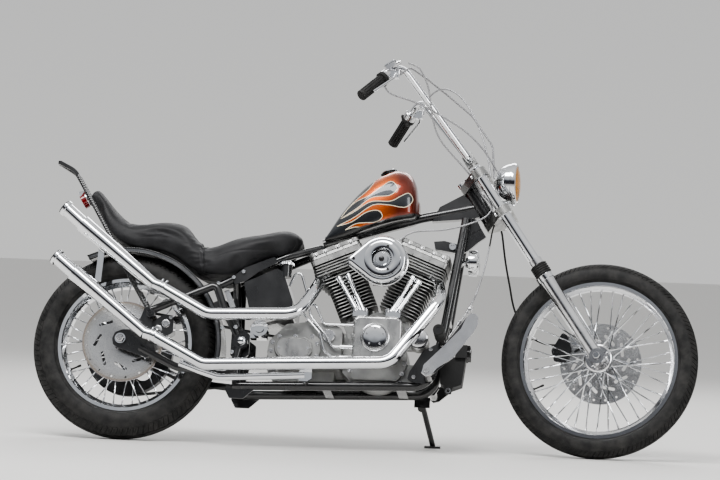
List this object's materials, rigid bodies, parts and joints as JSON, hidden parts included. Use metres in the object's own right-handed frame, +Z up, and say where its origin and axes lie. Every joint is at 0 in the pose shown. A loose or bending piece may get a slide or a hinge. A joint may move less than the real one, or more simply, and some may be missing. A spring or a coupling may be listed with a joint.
{
  "type": "chopper motorcycle",
  "caption": "Long-forked chopper motorcycle with a finned V-twin engine, saddle tank, stepped seat, high handlebar, spoked wheels and side stand.",
  "frame": {"origin": "middle of the bottom of the whole motorcycle's box, on the ground it is parked on", "axes": "+X forward along the motorcycle, +Y to its left, the side it leans to, +Z up"},
  "size_m": [2.3859, 0.929, 1.3715],
  "materials": {
    "black_frame": "gloss black enamel",
    "tank_paint": "metallic orange copper with dark flames",
    "chrome": "polished chrome",
    "engine_metal": "satin cast aluminium",
    "cylinder_black": "satin black with bare fin edges",
    "tank_black": "gloss black",
    "disc_steel": "ground steel",
    "pulley_black": "black",
    "belt_rubber": "matt black rubber",
    "tyre_rubber": "black tyre rubber",
    "seat_leather": "satin black leather",
    "lamp_red": "red lens",
    "stand_steel": "black with worn foot"
  },
  "bodies": {
    "frame": {"frame_backbone": "black_frame", "frame_cradle": "black_frame", "seat_frame": "black_frame", "swingarm": "black_frame", "rear_axle": "chrome", "crankcase": "engine_metal", "cam_cover": "engine_metal", "pushrod_tubes": "chrome", "cylinders": "cylinder_black", "cylinder_heads": "engine_metal", "air_cleaner": "chrome", "carburettor": "engine_metal", "gearbox": "engine_metal", "drive_belt": "belt_rubber", "primary_cover": "engine_metal", "oil_tank": "tank_black", "oil_lines": "chrome", "lower_exhaust": "chrome", "upper_exhaust": "chrome", "exhaust_brackets": "chrome", "fuel_tank": "tank_paint", "seat": "seat_leather", "rear_fender": "black_frame", "sissy_bar": "black_frame", "tail_light": "lamp_red", "horn": "chrome", "regulator": "black_frame", "rear_caliper": "black_frame", "foot_controls": "engine_metal"},
    "fork": {"triple_trees": "engine_metal", "fork_tubes": "chrome", "fork_sliders": "engine_metal", "front_axle": "chrome", "handlebar": "chrome", "grips": "belt_rubber", "headlight": "chrome", "front_caliper": "black_frame", "steered_cables": "belt_rubber"},
    "rear_wheel": {"rear_tyre": "tyre_rubber", "rear_wheel": "chrome", "rear_brake_disc": "disc_steel", "rear_pulley": "pulley_black"},
    "front_wheel": {"front_tyre": "tyre_rubber", "front_wheel": "chrome", "front_brake_disc": "disc_steel"},
    "side_stand": {"side_stand": "stand_steel"}
  },
  "joints": [
    {"name": "steering", "type": "hinge", "parent": "frame", "child": "fork", "pos_m": [0.79786, -0.15306, 0.31236], "axis": [-0.5672, 0.1994, 0.7991], "range_deg": [-27, 37]},
    {"name": "front_wheel_spin", "type": "hinge", "parent": "fork", "child": "front_wheel", "pos_m": [0.8438, -0.15015, 0.34425], "axis": [0.072, 0.9785, -0.193], "continuous": true},
    {"name": "rear_wheel_spin", "type": "hinge", "parent": "frame", "child": "rear_wheel", "pos_m": [-0.85601, -0.14853, 0.32881], "axis": [0.0003, 0.9703, -0.2419], "continuous": true},
    {"name": "side_stand_fold", "type": "hinge", "parent": "frame", "child": "side_stand", "pos_m": [0.21417, -0.06572, 0.15777], "axis": [0.056, 0.8814, 0.4691], "range_deg": [0, 86.5]}
  ]
}
